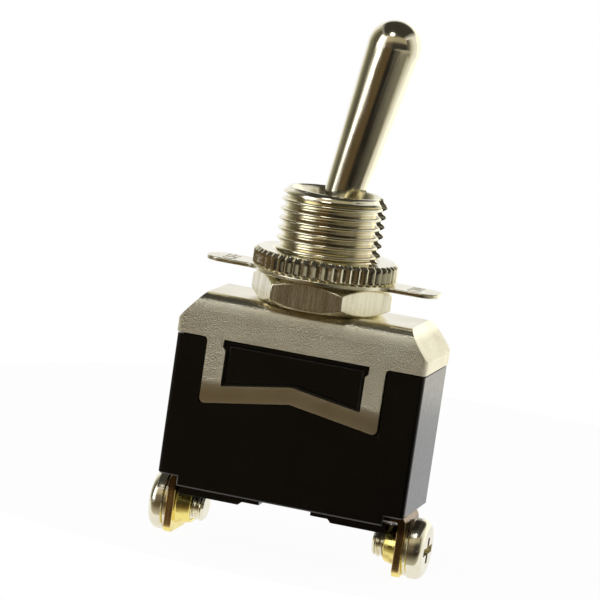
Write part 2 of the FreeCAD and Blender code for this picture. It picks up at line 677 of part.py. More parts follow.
def cut_contact_cavity(body):
    """The cavity, the slots that the terminals come through, and the screws' relief in the feet."""
    cavity = box_corners("-dims.cavity_half_len", "dims.cavity_half_len",
                         "-dims.cavity_half_width", "dims.cavity_half_width")
    cut_down(body, "cavity", cavity, NECK_TOP, f"dims.cavity_floor + ({NECK_TOP})")
    slot_roof = f"{NOTCH_ROOF} + dims.slot_slack"
    slot_floor = f"{NOTCH_ROOF} - dims.strip_sheet - dims.slot_slack"
    leg_in = "dims.leg_inside - dims.slot_slack"
    leg_out = "dims.leg_inside + dims.strip_sheet + dims.slot_slack"
    for side, sign in (("left", "-"), ("right", "")):
        lying = [(f"{sign}({leg_in})", slot_floor), (f"{sign}(dims.base_half_len)", slot_floor),
                 (f"{sign}(dims.base_half_len)", NOTCH_ROOF), (f"{sign}(dims.end_notch_from)", NOTCH_ROOF),
                 (f"{sign}(dims.end_notch_from)", slot_roof), (f"{sign}({leg_in})", slot_roof)]
        cut_across(body, f"{side}_slot", lying, "2 * (dims.tab_half_width + dims.slot_slack)")
        standing = [(f"{sign}({leg_in})", slot_floor), (f"{sign}({leg_out})", slot_floor),
                    (f"{sign}({leg_out})", "-dims.cavity_floor + 1"), (f"{sign}({leg_in})", "-dims.cavity_floor + 1")]
        cut_across(body, f"{side}_shaft", standing, "2 * (dims.strip_half_width + dims.slot_slack)")
        relief = new_sketch(body, f"{side}_relief_outline", "YZ_Plane", f"{sign}dims.base_half_len")
        draw_circle(relief, "dims.collar_relief_r", "0", "-dims.screw_depth")
        extrude(body, "Pocket", f"{side}_screw_relief", relief, "dims.base_half_len - dims.relief_from",
                reverse=(side == "left"))
    hole_down(body, "rivet_recess", "dims.rivet_head_r + dims.slot_slack", "-dims.cavity_floor",
              "dims.rivet_head + dims.slot_slack")


def add_tab(body, sign):
    """The outer end of a terminal: out of the notch, down the end face, with a tapped collar."""
    roof = NOTCH_ROOF
    under = f"{NOTCH_ROOF} - dims.strip_sheet"
    inside = f"{sign}dims.tab_inside + dims.outlet_shift"
    outside = f"{sign}({TAB_OUTSIDE}) + dims.outlet_shift"
    elbow = [(f"{sign}dims.end_notch_from", under), (inside, under), (inside, "-dims.tab_end"),
             (outside, "-dims.tab_end"), (outside, roof), (f"{sign}dims.end_notch_from", roof)]
    pad_across(body, "tab", elbow, "2 * dims.tab_half_width")
    side = -1 if sign else 1
    inner_face = side * value("tab_inside") + value("outlet_shift")
    outer_face = inner_face + side * value("strip_sheet")

    def is_tab_corner(edge):
        return is_straight(edge, 0) and near(edge.CenterOfMass.z, -value("tab_end"))

    def is_outer_bend(edge):
        top = -value("base_depth") + value("end_notch_rise")
        return is_straight(edge, 1) and near(edge.CenterOfMass.x, outer_face) and near(edge.CenterOfMass.z, top)

    def is_inner_bend(edge):
        low = -value("base_depth") + value("end_notch_rise") - value("strip_sheet")
        return is_straight(edge, 1) and near(edge.CenterOfMass.x, inner_face) and near(edge.CenterOfMass.z, low)

    finish_edges(body, "Fillet", "tab_corners", "dims.tab_corner_r", is_tab_corner)
    finish_edges(body, "Fillet", "outer_bend", "dims.bend_r + dims.strip_sheet - 0.01", is_outer_bend)
    finish_edges(body, "Fillet", "inner_bend", "dims.bend_r", is_inner_bend)


def add_collar(body, sign):
    collar = body.newObject("PartDesign::AdditiveCone", "collar")
    collar.setExpression("Radius1", "dims.collar_end_r")
    collar.setExpression("Radius2", "dims.collar_root_r")
    collar.setExpression("Height", "dims.collar_len")
    collar.Placement.Rotation = FreeCAD.Rotation(FreeCAD.Vector(0, 1, 0), -90 if sign else 90)
    collar.setExpression("Placement.Base.x", f"{sign}(dims.tab_inside - dims.collar_len) + dims.outlet_shift")
    collar.setExpression("Placement.Base.z", "-dims.screw_depth")
    hole = body.newObject("PartDesign::SubtractiveCylinder", "collar_hole")
    hole.setExpression("Radius", "dims.screw_r + dims.slide_slack")
    hole.Placement.Rotation = FreeCAD.Rotation(FreeCAD.Vector(0, 1, 0), 90)
    hole.setExpression("Height", "3 * dims.tab_inside")
    hole.setExpression("Placement.Base.x", "-1.5 * dims.tab_inside")
    hole.setExpression("Placement.Base.z", "-dims.screw_depth")


def make_terminal(label, sign, inner_corners):
    """A brass terminal bent from one strip: the inner end differs, the outer end is the same."""
    body = new_piece(label)
    roof = NOTCH_ROOF
    under = f"{NOTCH_ROOF} - dims.strip_sheet"
    leg_in = "dims.leg_inside"
    leg_out = "dims.leg_inside + dims.strip_sheet"
    path = [("dims.end_notch_from + dims.slot_slack", under), (leg_in, under)] + inner_corners + [
        (leg_out, roof), ("dims.end_notch_from + dims.slot_slack", roof)]
    corners = [(f"{sign}({across})", up) for across, up in path]
    pad_across(body, "inner_strip", corners, "2 * dims.strip_half_width")
    add_tab(body, sign)
    add_collar(body, sign)
    return body


def make_terminals():
    leg_in = "dims.leg_inside"
    leg_out = "dims.leg_inside + dims.strip_sheet"
    shelf_under = f"{SHELF_TOP} - dims.strip_sheet"
    make_terminal("left_terminal", "-", [(leg_in, shelf_under), ("dims.shelf_reach", shelf_under),
                                         ("dims.shelf_reach", SHELF_TOP), (leg_out, SHELF_TOP)])
    common = make_terminal("right_terminal", "", [(leg_in, "-dims.cavity_floor"),
                                                  ("-dims.strip_reach", "-dims.cavity_floor"),
                                                  ("-dims.strip_reach", STRIP_TOP), (leg_out, STRIP_TOP)])
    hole_down(common, "rivet_hole", "dims.rivet_r", f"{STRIP_TOP} + 1", "dims.strip_sheet + 2")


def make_saddle():
    """U bracket on the common strip whose two ears carry the rocker."""
    body = new_piece("contact_saddle")
    outside = "dims.ear_inside + dims.saddle_sheet"
    floor = box_corners("-dims.saddle_half_len", "dims.saddle_half_len", f"-({outside})", outside)
    pad_up(body, "saddle_floor", floor, STRIP_TOP, "dims.saddle_sheet")
    ear = [("-dims.ear_foot_half_len", STRIP_TOP), ("dims.ear_foot_half_len", STRIP_TOP),
           ("dims.pivot_r", PIVOT), ("-dims.pivot_r", PIVOT)]
    pad_across(body, "ears", ear, f"2 * ({outside})")
    tops = new_sketch(body, "ear_top_outline", "XZ_Plane")
    draw_circle(tops, "dims.pivot_r", "0", PIVOT)
    extrude(body, "Pad", "ear_tops", tops, f"2 * ({outside})", middle=True)
    gap = box_corners("-dims.saddle_half_len", "dims.saddle_half_len", "-dims.ear_inside", "dims.ear_inside")
    cut_down(body, "ear_gap", gap, f"{PIVOT} + 1", f"{PIVOT} + 1 - ({STRIP_TOP}) - dims.saddle_sheet")
    hole_down(body, "saddle_rivet_hole", "dims.rivet_r", f"{STRIP_TOP} + dims.saddle_sheet + 1",
              "dims.saddle_sheet + 2")


def make_rivet():
    """Rivet that holds the saddle on the common strip."""
    body = new_piece("saddle_rivet")
    top = f"{STRIP_TOP} + dims.saddle_sheet"
    disc_up(body, "rivet_foot", "dims.rivet_head_r", "-dims.cavity_floor - dims.rivet_head", "dims.rivet_head")
    disc_up(body, "rivet_shank", "dims.rivet_r", "-dims.cavity_floor", "dims.strip_sheet + dims.saddle_sheet")
    disc_up(body, "rivet_top", "dims.rivet_head_r", top, "dims.rivet_head")


def make_rocker():
    """Rocking contact strip, bent up from its middle, with wings that rest on the saddle's ears."""
    body = new_piece("rocker_contact", PIVOT, "-dims.rocker_tilt")
    low = "dims.slide_slack"
    rise = "dims.rocker_half_len * tan(dims.rocker_rise * 1deg)"
    high = f"{low} + dims.rocker_sheet"
    corners = [("0", low), ("dims.rocker_half_len", f"{low} + {rise}"), ("dims.rocker_half_len", f"{high} + {rise}"),
               ("0", high), ("-dims.rocker_half_len", f"{high} + {rise}"),
               ("-dims.rocker_half_len", f"{low} + {rise}")]
    pad_across(body, "strip", corners, "2 * dims.rocker_half_width")
    wings = box_corners("-dims.rocker_wing_half_len", "dims.rocker_wing_half_len", low, high)
    pad_across(body, "pivot_wings", wings, "2 * dims.wing_out")
    lugs = box_corners("-dims.rocker_wing_half_len", "dims.rocker_wing_half_len", "0", high)
    pad_across(body, "pivot_lugs", lugs, "2 * dims.wing_out")
    under = new_sketch(body, "lug_gap_outline", "XZ_Plane")
    draw_outline(under, box_corners("-2 * dims.rocker_wing_half_len", "2 * dims.rocker_wing_half_len", "-1", low))
    extrude(body, "Pocket", "lug_gap", under, "2 * dims.rocker_half_width", middle=True)
    groove = new_sketch(body, "pivot_groove_outline", "XZ_Plane")
    draw_circle(groove, "dims.pivot_r + dims.slide_slack")
    extrude(body, "Pocket", "pivot_groove", groove, "4 * dims.wing_out", middle=True)


def make_contacts():
    """Contact buttons: one under the rocker's left arm, one on the left terminal's shelf."""
    moving = new_piece("moving_contact", PIVOT, "-dims.rocker_tilt")
    middle = "-dims.contact_at"
    far = "2 * dims.rocker_half_len"
    rise = f"{far} * tan(dims.rocker_rise * 1deg)"
    low = "dims.slide_slack - dims.contact_height / cos(dims.rocker_rise * 1deg)"
    slab = [("0", low), (f"-{far}", f"{low} + {rise}"), (f"-{far}", f"dims.slide_slack + {rise}"),
            ("0", "dims.slide_slack")]
    pad_across(moving, "button_slab", slab, "4 * dims.contact_r")
    trim = new_sketch(moving, "button_outline", "XY_Plane", far)
    draw_circle(trim, "dims.contact_r", middle)
    draw_outline(trim, box_corners(f"-{far} - 1", "1", "-3 * dims.contact_r", "3 * dims.contact_r"))
    extrude(moving, "Pocket", "button_trim", trim, f"2 * {far}")
    fixed = new_piece("fixed_contact")
    button = new_sketch(fixed, "button_outline", "XY_Plane", SHELF_TOP)
    draw_circle(button, "dims.contact_r", middle)
    extrude(fixed, "Pad", "button", button, "dims.contact_height")


def make_screw(label, turned):
    """Binding-head screw, plain at the thread's outer size, with a combination slot and cross."""
    body = new_piece(label, "-dims.screw_depth")
    inside = HEAD_INSIDE
    outside = f"{HEAD_INSIDE} + dims.head_height"
    tip_r = "dims.screw_r - dims.screw_tip_chamfer"
    corners = [("dims.screw_tip", "0"), ("dims.screw_tip", tip_r),
               ("dims.screw_tip + dims.screw_tip_chamfer", "dims.screw_r"), (inside, "dims.screw_r"),
               (inside, "dims.head_r"), (outside, "dims.head_r"), (outside, "0")]
    turn_profile(body, "Revolution", "turned_screw", corners, "H_Axis")

    def is_head_edge(edge):
        far = value("tab_inside") + value("strip_sheet") + value("washer_sheet") + value("head_height")
        return near(edge.BoundBox.XMin, far) and near(edge.BoundBox.YMax, value("head_r"))

    finish_edges(body, "Fillet", "head_dome", "dims.head_edge_r", is_head_edge)
    half = "dims.drive_width / 2"
    for name, corners in (("slot", box_corners("-dims.slot_half_len", "dims.slot_half_len", f"-({half})", half)),
                          ("cross", box_corners(f"-({half})", half, "-dims.cross_half_len", "dims.cross_half_len"))):
        sketch = new_sketch(body, f"{name}_outline", "YZ_Plane", f"{outside} + 1")
        draw_outline(sketch, corners)
        extrude(body, "Pocket", name, sketch, "dims.drive_depth + 1")
    place_to_side(body, turned)


def make_washer(label, turned):
    body = new_piece(label, "-dims.screw_depth")
    ring = new_sketch(body, "washer_outline", "YZ_Plane", TAB_OUTSIDE)
    draw_circle(ring, "dims.washer_r")
    draw_circle(ring, "dims.screw_r + dims.washer_slack")
    extrude(body, "Pad", "washer_ring", ring, "dims.washer_sheet")
    place_to_side(body, turned)


def place_to_side(body, turned):
    """Moves a piece with the terminals, and turns one for the left end half round."""
    body.setExpression("Placement.Base.x", "dims.outlet_shift")
    if turned:
        body.setExpression("Placement.Rotation.Angle", None)
        body.Placement.Rotation = FreeCAD.Rotation(FreeCAD.Vector(0, 0, 1), 180)


def check_and_export():
    document.recompute()
    faulty = [item.Name for item in document.Objects if "Invalid" in item.State or "Error" in item.State]
    if faulty:
        raise RuntimeError(f"These features have failed: {', '.join(faulty)}")
    os.makedirs("parts", exist_ok=True)
    for body in pieces:
        if body.Shape.isNull() or not body.Shape.isValid():
            raise RuntimeError(f"{body.Label} has no valid shape")
        body.Shape.exportStep(f"parts/{body.Label}.step")
        print(body.Label, len(body.Shape.Solids), round(body.Shape.Volume, 2))


add_loops(make_cover())
make_bushing()
make_hex_nut()
make_plate()
make_ring_nut()
make_lever()
make_plunger()
make_spring()
make_guides()
base = make_base()
cut_loop_recess(base)
cut_contact_cavity(base)
make_terminals()
make_saddle()
make_rivet()
make_rocker()
make_contacts()
for end, is_turned in (("left", True), ("right", False)):
    make_screw(f"{end}_terminal_screw", is_turned)
    make_washer(f"{end}_screw_washer", is_turned)
check_and_export()
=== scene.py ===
import json
import math

import bmesh
import bpy
from mathutils import Matrix, Vector

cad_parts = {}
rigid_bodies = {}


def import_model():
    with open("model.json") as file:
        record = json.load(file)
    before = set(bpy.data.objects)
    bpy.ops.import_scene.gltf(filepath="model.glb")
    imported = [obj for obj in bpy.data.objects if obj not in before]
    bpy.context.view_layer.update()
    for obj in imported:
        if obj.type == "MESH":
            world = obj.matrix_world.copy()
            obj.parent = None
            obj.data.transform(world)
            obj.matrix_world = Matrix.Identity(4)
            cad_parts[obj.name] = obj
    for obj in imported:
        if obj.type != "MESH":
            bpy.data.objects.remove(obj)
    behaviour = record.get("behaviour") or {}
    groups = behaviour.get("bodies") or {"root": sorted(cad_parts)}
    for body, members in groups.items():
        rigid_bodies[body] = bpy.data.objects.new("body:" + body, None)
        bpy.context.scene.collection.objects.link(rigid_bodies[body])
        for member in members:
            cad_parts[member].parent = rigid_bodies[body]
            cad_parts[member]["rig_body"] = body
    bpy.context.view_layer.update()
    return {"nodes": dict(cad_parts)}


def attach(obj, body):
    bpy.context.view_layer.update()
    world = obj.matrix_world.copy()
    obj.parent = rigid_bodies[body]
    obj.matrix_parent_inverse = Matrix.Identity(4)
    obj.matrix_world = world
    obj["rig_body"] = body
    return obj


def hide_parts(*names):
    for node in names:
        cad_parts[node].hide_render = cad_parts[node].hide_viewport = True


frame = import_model()
nodes = frame["nodes"]

MM = 0.001

# Bushing, in millimetres, with heights from the cover's top
THREAD_RADIUS = 6.0
THREAD_PITCH = 1.1
THREAD_DEPTH = 0.55
THREAD_ROUNDING = 2.2
THREAD_ROWS = 11 * 24
BUSHING_LENGTH = 13.17
FOOT_CHAMFER = 0.3
RIM_CHAMFER = 0.75
RIM_SLOPE_WIDTH = 0.62
RIM_ROUNDING = 0.08
SPIGOT_RADIUS = 4.7
STAKE_DEPTH = 1.0
BALL_SEAT_RADIUS = 3.95
SEAT_HEIGHT = 8.15
SEAT_RELIEF = 0.1
SEAT_ARC_STEPS = 8
THROAT_RADIUS = 3.25
DISH_RADIUS = 4.9
DISH_DEPTH = 3.67
DISH_EDGE_OUTSIDE = 0.08
DISH_EDGE_INSIDE = 0.05
DISH_EDGE_DEPTH = 0.12
KEYWAY_HALF_WIDTH = 1.0
KEYWAY_FLOOR = 5.05

# Knurled ring nut and the plate under it
NUT_TOP = 5.95
PLATE_TOP = 3.75
RING_RADIUS = 8.29
RING_BORE = 5.8
RING_LOWER_CHAMFER = (0.4, 0.3)
RING_UPPER_CHAMFER = (0.45, 0.4)
RING_BORE_CHAMFER = 0.35
KNURL_TEETH = 48
KNURL_DEPTH = 0.42
KNURL_ROUNDING = 1.4
LETTER_SIZE = 2.3
LETTER_HALF_THICKNESS = 0.012
LETTER_LIFT = 0.005
WORD_DISTANCE = 10.9

# Cover's skirt and loop
LOOP_SHIFT = 0.35
CHEVRON_SLOPE = 0.163
BAR_TOP = -8.65
SKIRT_BLEND = (-1.6, -0.4)

# Terminals and their screws
SCREW_HEIGHT = -25.5
OUTLET_SHIFT = 0.35
TAB_HALF_WIDTH = 3.5
# Heights over which painted shade darkens each terminal tab towards the base
TAB_ROOT_SHADE = (-24.2, -23.0)
SCREW_RADIUS = 1.75
SCREW_PITCH = 0.6
SCREW_THREAD_DEPTH = 0.32
SCREW_THREAD_ROWS = 110
SCREW_TIP = 10.1
SCREW_TIP_CHAMFER = 0.35
SCREW_HEAD_FROM = 14.55
SCREW_HEAD_RADIUS = 3.5
SCREW_HEAD_HEIGHT = 1.75
SCREW_HEAD_EDGE = 1.0
SCREW_HEAD_BREAK = 0.12
HEAD_ARC_STEPS = 12
SLOT_HALF_LENGTH = 2.1
CROSS_HALF_LENGTH = 1.5
DRIVE_HALF_WIDTH = 0.45
DRIVE_DEPTH = 0.9


def level(z):
    """Turns a height in millimetres from the cover's top into one in metres in the shared frame."""
    return (z - NUT_TOP) * MM


def place(x, y, z):
    """Turns a point in millimetres from the cover's top into one in metres in the shared frame."""
    return Vector((x * MM, y * MM, level(z)))


# Node trees for materials

class Tree:
    """Adds nodes to one node tree and joins them."""

    def __init__(self, tree):
        self.tree = tree
        self.nodes = tree.nodes
        self.links = tree.links

    def join(self, source, target):
        """Links an output to an input, or sets a plain value on the input."""
        if hasattr(source, "links"):
            self.links.new(source, target)
        else:
            target.default_value = source

    def math(self, operation, *values):
        node = self.nodes.new("ShaderNodeMath")
        node.operation = operation
        for value, target in zip(values, node.inputs):
            self.join(value, target)
        return node.outputs["Value"]


class Shader(Tree):
    """Builds one surface: noise, masks and mixing of colours around a single principled shader."""

    def __init__(self, name, roughness, metallic=0.0):
        self.material = bpy.data.materials.new(name)
        self.material.use_nodes = True
        super().__init__(self.material.node_tree)
        self.surface = self.nodes["Principled BSDF"]
        self.surface.inputs["Roughness"].default_value = roughness
        self.surface.inputs["Metallic"].default_value = metallic
        self.coordinates = self.nodes.new("ShaderNodeTexCoord").outputs["Object"]
        self.bumps = []

    def stretched(self, scale):
        """The piece's own coordinates, scaled apart along each direction."""
        mapping = self.nodes.new("ShaderNodeMapping")
        mapping.inputs["Scale"].default_value = scale
        self.links.new(self.coordinates, mapping.inputs["Vector"])
        return mapping.outputs["Vector"]

    def noise(self, scale, stretch=(1, 1, 1), detail=3.0, roughness=0.5):
        """Cloudy pattern with this many waves to the metre."""
        texture = self.nodes.new("ShaderNodeTexNoise")
        texture.inputs["Scale"].default_value = scale
        texture.inputs["Detail"].default_value = detail
        texture.inputs["Roughness"].default_value = roughness
        self.links.new(self.stretched(stretch), texture.inputs["Vector"])
        return texture.outputs["Fac"]

    def cells(self, scale):
        """Soft round cells, dark in their middles."""
        texture = self.nodes.new("ShaderNodeTexVoronoi")
        texture.feature = "SMOOTH_F1"
        texture.inputs["Scale"].default_value = scale
        self.links.new(self.coordinates, texture.inputs["Vector"])
        return texture.outputs["Distance"]

    def axis(self, name):
        split = self.nodes.new("ShaderNodeSeparateXYZ")
        self.links.new(self.coordinates, split.inputs["Vector"])
        return split.outputs[name]

    def ramp(self, source, low, high, start=0.0, end=1.0):
        """Leads a pattern softly from one value to another between two of its own values."""
        node = self.nodes.new("ShaderNodeMapRange")
        node.interpolation_type = "SMOOTHSTEP"
        self.links.new(source, node.inputs["Value"])
        node.inputs["From Min"].default_value = low
        node.inputs["From Max"].default_value = high
        node.inputs["To Min"].default_value = start
        node.inputs["To Max"].default_value = end
        return node.outputs["Result"]

    def blend(self, factor, first, second):
        """Mixes two colours, or outputs that carry colours."""
        node = self.nodes.new("ShaderNodeMix")
        node.data_type = "RGBA"
        self.join(factor, node.inputs["Factor"])
        for value, target in ((first, node.inputs["A"]), (second, node.inputs["B"])):
            self.join((*value, 1.0) if isinstance(value, tuple) else value, target)
        return node.outputs["Result"]

    def colour(self, value):
        target = self.surface.inputs["Base Color"]
        self.join((*value, 1.0) if isinstance(value, tuple) else value, target)

    def roughness(self, value):
        self.join(value, self.surface.inputs["Roughness"])

    def bump(self, height, depth, strength=1.0):
        """Raises the surface by a height pattern, whose full range stands for a depth in millimetres."""
        node = self.nodes.new("ShaderNodeBump")
        self.join(strength, node.inputs["Strength"])
        node.inputs["Distance"].default_value = depth * MM
        self.links.new(height, node.inputs["Height"])
        if self.bumps:
            self.links.new(self.bumps[-1], node.inputs["Normal"])
        self.bumps.append(node.outputs["Normal"])
        self.links.new(node.outputs["Normal"], self.surface.inputs["Normal"])


NICKEL = (0.84, 0.8, 0.64)
NICKEL_SHADE = (0.74, 0.68, 0.52)
BRASS = (0.9, 0.76, 0.24)


def smooth_nickel(name, roughness=0.13, streaks=(1, 1, 1)):
    """Bright plating with soft stains, fine pits and a slightly uneven gloss."""
    shade = Shader(name, roughness, 1.0)
    stains = shade.noise(220, detail=4)
    shade.colour(shade.blend(shade.ramp(stains, 0.35, 0.75), NICKEL, NICKEL_SHADE))
    fine = shade.noise(2600, streaks, detail=4)
    shade.roughness(shade.ramp(shade.noise(700, streaks), 0.3, 0.75, roughness - 0.04, roughness + 0.07))
    shade.bump(fine, 0.0025)
    shade.bump(shade.noise(150), 0.03)
    return shade.material


def pressed_cover_plating():
    """Plating over a pressed sheet: smooth on the flat top, orange peel on the skirt and loops."""
    shade = Shader("plating_on_pressed_cover", 0.16, 1.0)
    height = shade.axis("Z")
    sideways = shade.math("ABSOLUTE", shade.math("ADD", shade.axis("X"), LOOP_SHIFT * MM))
    along_bar = shade.math("MULTIPLY_ADD", sideways, CHEVRON_SLOPE, height)
    skirt = shade.ramp(height, level(SKIRT_BLEND[0]), level(SKIRT_BLEND[1]), 1.0, 0.0)
    bar = shade.ramp(along_bar, level(BAR_TOP - 0.1), level(BAR_TOP + 1.2), 0.1, 1.0)
    drawn = shade.math("MULTIPLY", skirt, bar)
    stains = shade.noise(180, detail=4)
    shade.colour(shade.blend(shade.ramp(stains, 0.35, 0.75), NICKEL, NICKEL_SHADE))
    grain = shade.noise(7000, detail=3, roughness=0.6)
    shade.bump(grain, 0.16, drawn)
    shade.bump(shade.noise(2200, detail=2), 0.03, drawn)
    shade.bump(shade.noise(7000, detail=2), 0.003, 0.6)
    shade.bump(shade.noise(500, (0.3, 1, 1), detail=2), 0.16, drawn)
    shade.bump(shade.ramp(along_bar, level(BAR_TOP - 2.2), level(BAR_TOP)), 0.22)
    shade.roughness(shade.blend(skirt, (0.24, 0.24, 0.24), (0.33, 0.33, 0.33)))
    return shade.material


def brushed_nut_plating():
    """Plated nut whose flats keep upright grinding lines and a few dents."""
    shade = Shader("plating_on_ground_flats", 0.24, 1.0)
    lines = shade.noise(3200, (1, 1, 0.04), detail=5, roughness=0.7)
    stains = shade.noise(500, (1, 1, 0.25), detail=4)
    shade.colour(shade.blend(shade.ramp(stains, 0.4, 0.72), NICKEL, (0.62, 0.56, 0.44)))
    shade.roughness(shade.ramp(lines, 0.3, 0.7, 0.2, 0.34))
    shade.bump(lines, 0.004)
    dents = shade.ramp(shade.cells(420), 0.05, 0.16)
    shade.bump(dents, 0.02)
    return shade.material


def rolled_brass(name, tarnished_and_shaded=False):
    """Rolled brass strip: fine rolling lines and brown patches, with tarnish on cut edges and painted
    shade at the root, where it meets the base.
    """
    shade = Shader(name, 0.2, 1.0)
    lines = shade.noise(2600, (1, 1, 0.08), detail=4)
    patches = shade.ramp(shade.noise(420, detail=5, roughness=0.6), 0.48, 0.72)
    warm = shade.blend(patches, BRASS, (0.42, 0.27, 0.1))
    if tarnished_and_shaded:
        outside = shade.math("ABSOLUTE", shade.axis("Y"))
        edge = shade.ramp(outside, (TAB_HALF_WIDTH - 0.12) * MM, (TAB_HALF_WIDTH - 0.02) * MM)
        warm = shade.blend(edge, warm, (0.55, 0.38, 0.18))
        # Painted shade: the tab darkens to deep brown towards its root, just under the base
        root = shade.ramp(shade.axis("Z"), level(TAB_ROOT_SHADE[0]), level(TAB_ROOT_SHADE[1]))
        warm = shade.blend(root, warm, (0.16, 0.1, 0.05))
    shade.colour(warm)
    shade.roughness(shade.ramp(lines, 0.3, 0.7, 0.13, 0.3))
    shade.bump(lines, 0.006)
    return shade.material


def black_moulding():
    """Glossy black thermoset with a faint flow pattern and very fine pits."""
    shade = Shader("black_moulding", 0.28)
    shade.surface.inputs["IOR"].default_value = 1.5
    flow = shade.noise(260, (1, 1, 0.5), detail=5)
    streaks = shade.ramp(flow, 0.35, 0.7)
    shade.colour(shade.blend(streaks, (0.0008, 0.0008, 0.001), (0.0016, 0.0016, 0.0018)))
    shade.roughness(shade.ramp(shade.noise(1500, detail=4), 0.3, 0.7, 0.2, 0.25))
    shade.bump(shade.noise(3800, detail=3), 0.0006)
    shade.bump(shade.noise(200), 0.006)
    return shade.material


def plain_material(name, colour, darker, roughness, metallic=0.0):
    """Even finish for a small piece: two near colours in patches, an uneven gloss and fine grain."""
    shade = Shader(name, roughness, metallic)
    patches = shade.noise(900, detail=5)
    shade.colour(shade.blend(shade.ramp(patches, 0.35, 0.7), colour, darker))
    shade.roughness(shade.ramp(patches, 0.3, 0.75, roughness - 0.06, roughness + 0.08))
    shade.bump(shade.noise(2700, detail=4), 0.006)
    return shade.material


# Node trees for turned and threaded pieces

class Shape(Tree):
    """Builds the node tree of a turned piece: its profile is spun and given thread, teeth or a key."""

    def __init__(self, name):
        super().__init__(bpy.data.node_groups.new(name, "GeometryNodeTree"))
        self.tree.is_modifier = True
        self.tree.interface.new_socket("Geometry", in_out="INPUT", socket_type="NodeSocketGeometry")
        self.tree.interface.new_socket("Geometry", in_out="OUTPUT", socket_type="NodeSocketGeometry")
        self.given = self.nodes.new("NodeGroupInput")
        self.made = self.nodes.new("NodeGroupOutput")

    def input(self, name, kind="Float"):
        self.tree.interface.new_socket(name, in_out="INPUT", socket_type=f"NodeSocket{kind}")
        return self.given.outputs[name]

    def add(self, kind, **inputs):
        node = self.nodes.new(f"GeometryNode{kind}")
        for name, source in inputs.items():
            self.join(source, node.inputs[name.replace("_", " ")])
        return node


def turned_shape():
    """The tree reads a profile of points, spins it round Z and shifts each point's radius by rule."""
    shape = Shape("turned_piece")
    around = shape.input("Points around", "Int")
    pitch = shape.input("Thread pitch")
    depth = shape.input("Thread depth")
    teeth = shape.input("Tooth count", "Int")
    tooth_depth = shape.input("Tooth depth")
    key_half = shape.input("Key half width")
    key_floor = shape.input("Key floor radius")
    finish = shape.input("Finish", "Material")
    profile = shape.given.outputs["Geometry"]

    size = shape.nodes.new("GeometryNodeAttributeDomainSize")
    shape.join(profile, size.inputs["Geometry"])
    row_count = size.outputs["Point Count"]
    columns = shape.math("ADD", around, 1.0)
    grid = shape.add("MeshGrid", Size_X=1.0, Size_Y=1.0, Vertices_X=columns, Vertices_Y=row_count)
    index = shape.nodes.new("GeometryNodeInputIndex").outputs["Index"]
    row = shape.math("MODULO", index, row_count)
    column = shape.math("FLOOR", shape.math("DIVIDE", shape.math("ADD", index, 0.5), row_count))
    turn = shape.math("DIVIDE", column, around)
    angle = shape.math("MULTIPLY", turn, math.tau)

    def sampled(kind, value):
        node = shape.nodes.new("GeometryNodeSampleIndex")
        node.data_type = kind
        node.clamp = True
        shape.join(profile, node.inputs["Geometry"])
        shape.join(value, node.inputs["Value"])
        shape.join(row, node.inputs["Index"])
        return node.outputs["Value"]

    def attribute(name):
        node = shape.nodes.new("GeometryNodeInputNamedAttribute")
        node.data_type = "FLOAT"
        node.inputs["Name"].default_value = name
        return sampled("FLOAT", node.outputs["Attribute"])

    position = shape.nodes.new("GeometryNodeInputPosition").outputs["Position"]
    split = shape.nodes.new("ShaderNodeSeparateXYZ")
    shape.join(sampled("FLOAT_VECTOR", position), split.inputs["Vector"])
    radius, height = split.outputs["X"], split.outputs["Z"]

    phase = shape.math("FRACT", shape.math("SUBTRACT", shape.math("DIVIDE", height, pitch), turn))
    wave = shape.math("ABSOLUTE", shape.math("SINE", shape.math("MULTIPLY", phase, math.pi)))
    groove = shape.math("MULTIPLY", shape.math("POWER", wave, THREAD_ROUNDING), depth)
    threaded = shape.math("SUBTRACT", radius, shape.math("MULTIPLY", groove, attribute("thread")))
    tooth = shape.math("FRACT", shape.math("MULTIPLY", turn, teeth))
    valley = shape.math("ABSOLUTE", shape.math("SUBTRACT", shape.math("MULTIPLY", tooth, 2.0), 1.0))
    notch = shape.math("POWER", valley, KNURL_ROUNDING)
    cut_away = shape.math("MULTIPLY", shape.math("MULTIPLY", notch, tooth_depth), attribute("knurl"))
    knurled = shape.math("SUBTRACT", threaded, cut_away)

    cosine, sine = shape.math("COSINE", angle), shape.math("SINE", angle)
    sideways = shape.math("ABSOLUTE", shape.math("MULTIPLY", radius, sine))
    near = shape.math("LESS_THAN", sideways, key_half)
    inside = shape.math("MULTIPLY", near, shape.math("GREATER_THAN", cosine, 0.0))
    floor = shape.math("DIVIDE", key_floor, shape.math("MAXIMUM", cosine, 0.5))
    cut = shape.math("MINIMUM", knurled, floor)
    keyed = shape.math("MULTIPLY", inside, attribute("key"))
    uncut = shape.math("MULTIPLY", knurled, shape.math("SUBTRACT", 1.0, keyed))
    shifted = shape.math("ADD", uncut, shape.math("MULTIPLY", cut, keyed))

    place_at = shape.nodes.new("ShaderNodeCombineXYZ")
    shape.join(shape.math("MULTIPLY", shifted, cosine), place_at.inputs["X"])
    shape.join(shape.math("MULTIPLY", shifted, sine), place_at.inputs["Y"])
    shape.join(height, place_at.inputs["Z"])
    spun = shape.add("SetPosition", Geometry=grid.outputs["Mesh"], Position=place_at.outputs["Vector"])
    welded = shape.add("MergeByDistance", Geometry=spun.outputs["Geometry"], Distance=0.000001)
    whole = shape.add("RealizeInstances", Geometry=welded.outputs["Geometry"])
    finished = shape.add("SetMaterial", Geometry=whole.outputs["Geometry"], Material=finish)
    shape.join(finished.outputs["Geometry"], shape.made.inputs["Geometry"])
    return shape.tree


TURNED = turned_shape()


def set_input(modifier, name, value):
    """Sets a modifier's input by the identifier of the socket with this name."""
    sockets = modifier.node_group.interface.items_tree
    socket = next(item for item in sockets if item.name == name and item.in_out == "INPUT")
    modifier[socket.identifier] = value


